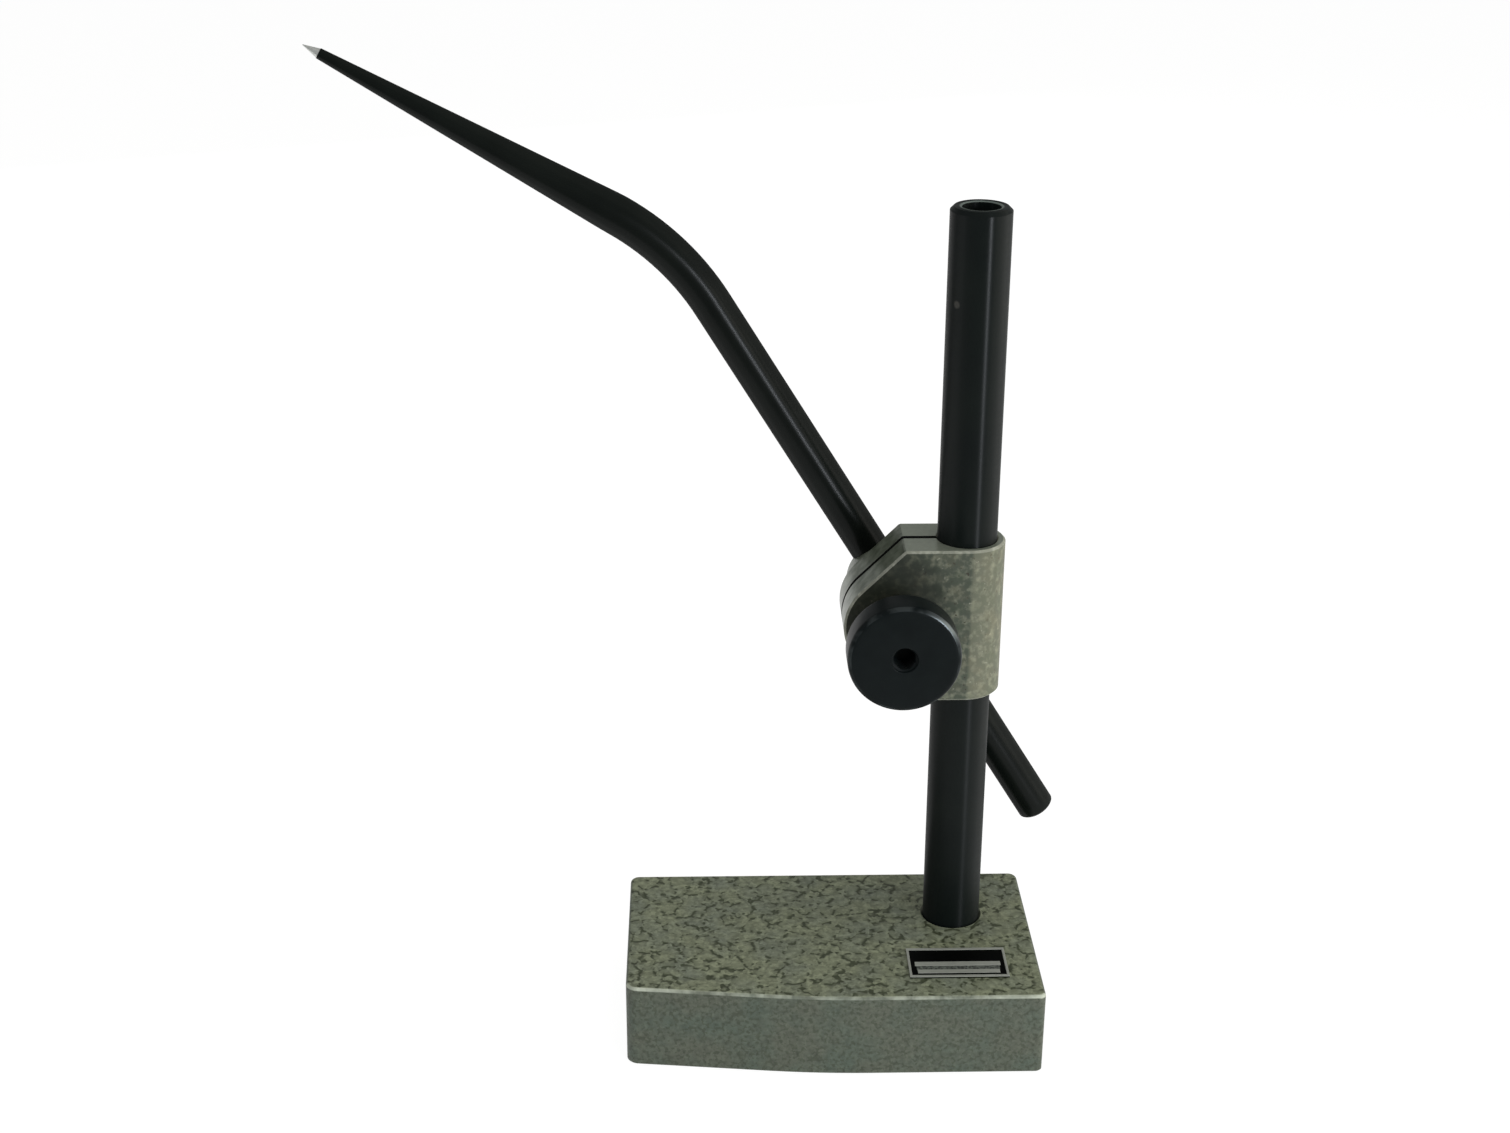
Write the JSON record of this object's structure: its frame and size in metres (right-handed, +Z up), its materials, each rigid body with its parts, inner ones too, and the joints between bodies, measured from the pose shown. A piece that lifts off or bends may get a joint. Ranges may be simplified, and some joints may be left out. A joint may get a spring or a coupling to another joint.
{
  "type": "height gauge",
  "caption": "Height gauge: heavy cast base, upright tube, and a split clamp that slides on the tube and holds a long bent arm with a steel point.",
  "frame": {"origin": "middle of the base's underside", "axes": "+Z up along the column, +X along the base's long side towards the column's end, +Y from the name plate's side to the arm's side"},
  "size_m": [0.2405, 0.0898, 0.3177],
  "materials": {
    "hammertone_casting": "grey-green hammertone paint over the casting",
    "plate_metal": "black enamel with bare raised bars",
    "blackened_steel": "drawn tube, chemically blackened, satin",
    "plain_steel": "turned, bare",
    "bolt_steel": "blackened",
    "clamp_casting": "cast, bare metal with a dull speckled skin",
    "black_rod": "blackened and oiled, glossy",
    "bright_steel": "ground bright",
    "blackened_knob": "turned and blackened, satin"
  },
  "bodies": {
    "base": {"base": "hammertone_casting", "name_plate": "plate_metal", "column_bolt": "bolt_steel", "column_washer": "plain_steel"},
    "column": {"column": "blackened_steel", "column_plug": "plain_steel"},
    "clamp": {"clamp_body": "clamp_casting"},
    "swivel": {"arm_seat": "plain_steel", "eye_bolt": "plain_steel"},
    "arm": {"arm": "black_rod", "arm_point": "bright_steel"},
    "washer": {"thrust_washer": "plain_steel"},
    "knob": {"knob": "blackened_knob"}
  },
  "joints": [
    {"name": "column_turn", "type": "hinge", "parent": "base", "child": "column", "pos_m": [0.042, 0.0125, 0.0294], "axis": [0, 0, 1], "continuous": true},
    {"name": "clamp_slide", "type": "slide", "parent": "column", "child": "clamp", "axis": [0, 0, 1], "range_m": [-0.018, 0.105]},
    {"name": "arm_swivel", "type": "hinge", "parent": "clamp", "child": "swivel", "pos_m": [0.0199, 0.0125, 0.14205], "axis": [0, 1, 0], "range_deg": [-68, 165]},
    {"name": "arm_slide", "type": "slide", "parent": "swivel", "child": "arm", "axis": [-0.5255, 0, 0.8508], "range_m": [-0.05, 0.088]},
    {"name": "washer_slide", "type": "slide", "parent": "swivel", "child": "washer", "axis": [0, -1, 0], "range_m": [0, 0.0025]},
    {"name": "knob_turn", "type": "hinge", "parent": "washer", "child": "knob", "pos_m": [0.0199, 0.0125, 0.14205], "axis": [0, -1, 0], "range_deg": [0, 720]}
  ],
  "couplings": [
    {"joint": "washer_slide", "follows": "knob_turn", "m_per_rad": 0.00019894}
  ]
}
